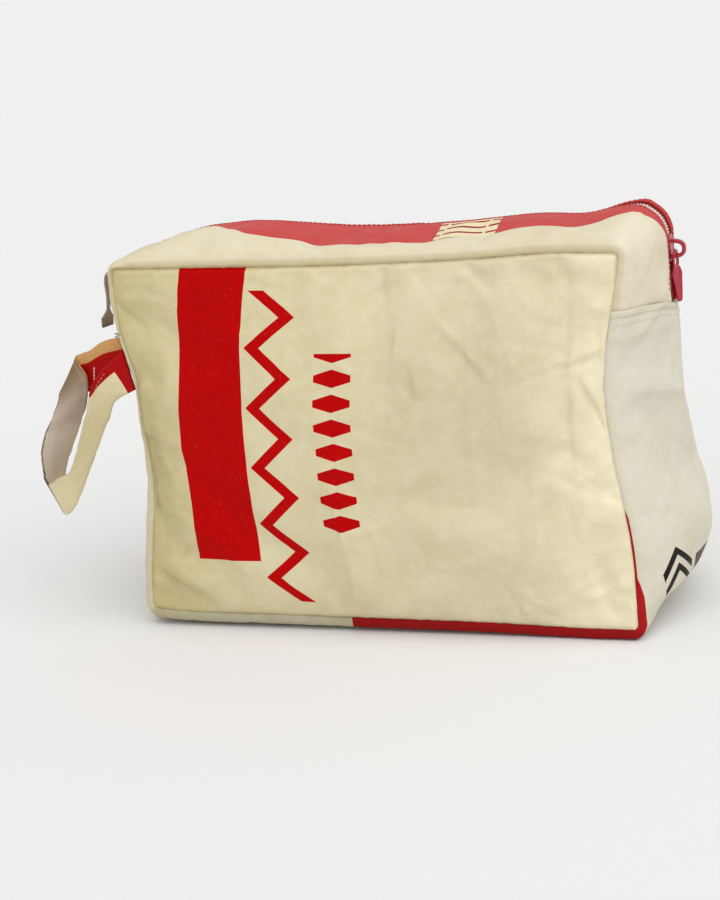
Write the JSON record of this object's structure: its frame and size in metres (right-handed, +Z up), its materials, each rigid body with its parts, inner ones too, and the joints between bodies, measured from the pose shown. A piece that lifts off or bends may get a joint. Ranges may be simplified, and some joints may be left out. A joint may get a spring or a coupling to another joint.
{
  "type": "zipped wash bag made of recycled sack cloth",
  "caption": "Soft zipped wash bag sewn from printed woven sack cloth, with a folded wrist strap on one end.",
  "frame": {"origin": "middle of the flat bottom, on the floor plane", "axes": "+X along the bag towards the zip slider's end, +Y from the front panel to the back panel, +Z up"},
  "size_m": [0.3493, 0.1429, 0.211],
  "materials": {
    "sack_cloth_front": "laminated woven sack cloth, cream with a red printed bar, soft sheen",
    "sack_cloth_back": "laminated woven sack cloth, cream, soft sheen",
    "sack_cloth_band": "laminated woven sack cloth, cream with a red edge and dark printed marks",
    "sack_cloth_top": "laminated woven sack cloth, cream with a red band beside the zip",
    "zip_tape": "red woven zip tape",
    "zip_teeth": "off-white moulded teeth",
    "zip_metal": "red enamelled die casting",
    "strap_cloth": "folded sack cloth, cream and red on one face, grey-brown on the other"
  },
  "bodies": {
    "bag": {"front_panel": "sack_cloth_front", "back_panel": "sack_cloth_back", "base_band": "sack_cloth_band", "zip_strip_front": "sack_cloth_top", "zip_strip_back": "sack_cloth_top", "zip_tape_front": "zip_tape", "zip_tape_back": "zip_tape", "zip_teeth": "zip_teeth", "zip_slider": "zip_metal", "wrist_strap": "strap_cloth"},
    "pull": {"zip_pull": "zip_metal"}
  },
  "joints": [
    {"name": "pull_swing", "type": "hinge", "parent": "bag", "child": "pull", "pos_m": [0.15172, 0, 0.18746], "axis": [0, -1, 0], "range_deg": [0, 170]}
  ]
}
